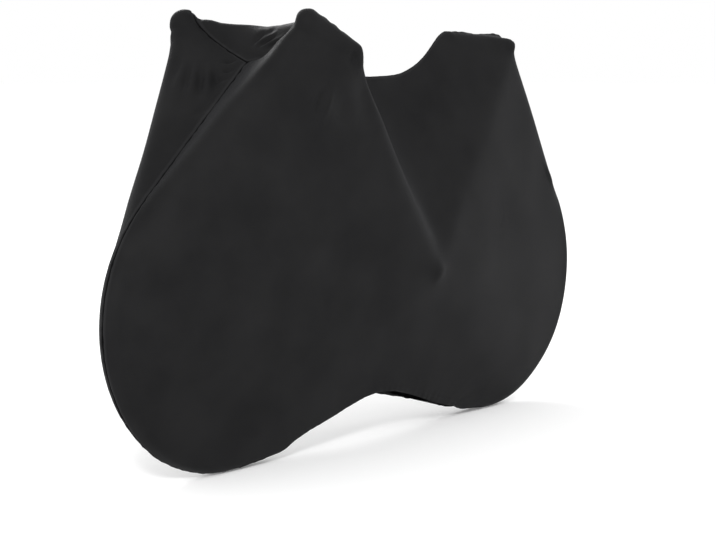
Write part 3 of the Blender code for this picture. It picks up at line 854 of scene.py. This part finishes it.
# ---- Pieces ----
def add_sheet(name, net, turned, cloth_uv, edge_uv, tone):
    """A mesh of quads on the net, facing out, with the cloth's own lengths as its two UV maps."""
    columns, rows = net.shape[:2]
    knots = np.arange(columns * rows).reshape(columns, rows)
    quads = np.stack([knots[:-1, :-1], knots[1:, :-1], knots[1:, 1:], knots[:-1, 1:]], axis=-1)
    quads = quads.reshape(-1, 4)
    if turned:
        quads = quads[:, ::-1]
    mesh = bpy.data.meshes.new(name)
    mesh.from_pydata(net.reshape(-1, 3).tolist(), [], quads.tolist())
    corners = np.empty(len(mesh.loops), dtype=np.int32)
    mesh.loops.foreach_get("vertex_index", corners)
    for layer_name, pair in (("cloth", cloth_uv), ("edge", edge_uv)):
        layer = mesh.uv_layers.new(name=layer_name)
        flat = np.stack([part.reshape(-1) for part in pair], axis=1)[corners]
        layer.data.foreach_set("uv", flat.astype(np.float32).ravel())
    mesh.shade_smooth()
    piece = bpy.data.objects.new(name, mesh)
    bpy.context.scene.collection.objects.link(piece)
    piece.data.materials.append(knit_material(name + "_knit", tone))
    return piece


def add_cover():
    """The three pieces, each in its CAD solid's place."""
    nets = {"far": side_net("far"), "near": side_net("near") * np.array([1.0, -1.0, 1.0])}
    first = CELLS["front_wheel"] + CELLS["front_seam"]
    last = first + CELLS["to_bar_end"] + CELLS["to_rear_corner"]
    kite = gusset_net(*[nets[side][first:last + 1, 0] for side in ("near", "far")])

    finished = {side: finish_panel(net, side) for side, net in nets.items()}
    near, far = finished["near"][0], finished["far"][0]
    middle = (near[:, 0] + far[:, 0]) / 2.0 * np.array([1.0, 0.0, 1.0])
    first, last = 2 * first, 2 * last
    for columns in (slice(0, first + 1), slice(last, None)):
        near[columns, 0] = far[columns, 0] = middle[columns]
    gusset, beside, from_edge = finish_gusset(kite, near[first:last + 1, 0],
                                              far[first:last + 1, 0])

    pieces = {}
    for side, (net, seam_along, from_seam, from_hem) in finished.items():
        pieces[side] = add_sheet(f"side_panel_{side}", net, side == "near",
                                 (seam_along, from_seam), (seam_along, from_hem), TONE)
        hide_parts(f"panel_{side}")
    pieces["gusset"] = add_sheet("handlebar_gusset_cloth", gusset, False, (beside, from_edge),
                                 (beside, from_edge + NO_HEM), TONE * GUSSET_TONE)
    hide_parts("handlebar_gusset")
    for piece in pieces.values():
        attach(piece, "root")


# ---- Stage ----
def add_light(name, place, aim, size, power):
    """A square lamp that faces the place it is aimed at."""
    light = bpy.data.lights.new(name, "AREA")
    light.shape = "RECTANGLE"
    light.size, light.size_y = size, size
    light.energy = power
    lamp = bpy.data.objects.new(name, light)
    lamp.location = place
    direction = np.array(aim) - np.array(place)
    lamp.rotation_euler = (math.atan2(math.hypot(direction[0], direction[1]), -direction[2]), 0.0,
                           math.atan2(direction[1], direction[0]) - math.pi / 2)
    bpy.context.scene.collection.objects.link(lamp)


def add_floor():
    """A wide, nearly white floor."""
    mesh = bpy.data.meshes.new("floor")
    circle = bmesh.new()
    bmesh.ops.create_circle(circle, cap_ends=True, segments=96, radius=FLOOR_RADIUS)
    circle.to_mesh(mesh)
    circle.free()
    floor = bpy.data.objects.new("floor", mesh)
    bpy.context.scene.collection.objects.link(floor)
    material = bpy.data.materials.new("studio_floor")
    material.use_nodes = True
    surface = material.node_tree.nodes["Principled BSDF"]
    surface.inputs["Base Color"].default_value = (0.93, 0.93, 0.93, 1.0)
    surface.inputs["Roughness"].default_value = 0.9
    surface.inputs["Emission Color"].default_value = (1.0, 1.0, 1.0, 1.0)
    surface.inputs["Emission Strength"].default_value = 0.12
    surface.inputs["Specular IOR Level"].default_value = 0.1
    floor.data.materials.append(material)


def add_world():
    """Even white light from all round."""
    scene = bpy.context.scene
    world = scene.world or bpy.data.worlds.new("studio")
    scene.world = world
    world.use_nodes = True
    background = world.node_tree.nodes["Background"]
    background.inputs["Color"].default_value = (1.0, 1.0, 1.0, 1.0)
    background.inputs["Strength"].default_value = 1.0


def add_camera():
    """The camera, in front on the near side, looking slightly down."""
    camera = bpy.data.cameras.new("camera")
    camera.sensor_width = 36.0
    camera.lens = CAMERA_LENS
    camera.clip_end = 200.0
    view = bpy.data.objects.new("camera", camera)
    view.location = CAMERA_PLACE
    view.rotation_euler = (math.radians(90.0 - CAMERA_DOWN), 0.0, math.radians(CAMERA_TURN))
    bpy.context.scene.collection.objects.link(view)
    bpy.context.scene.camera = view


def add_stage():
    """Floor, world, lights and camera."""
    bpy.context.scene.view_settings.view_transform = "Standard"
    add_floor()
    add_world()
    for name, settings in LIGHTS.items():
        add_light(name, *settings)
    add_camera()


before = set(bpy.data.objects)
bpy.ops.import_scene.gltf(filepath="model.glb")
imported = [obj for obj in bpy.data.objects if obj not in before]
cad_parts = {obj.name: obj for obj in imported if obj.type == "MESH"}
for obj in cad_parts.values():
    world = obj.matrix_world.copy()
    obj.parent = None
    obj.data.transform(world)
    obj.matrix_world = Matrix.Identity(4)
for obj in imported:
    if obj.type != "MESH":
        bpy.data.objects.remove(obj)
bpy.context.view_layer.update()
add_cover()
add_stage()
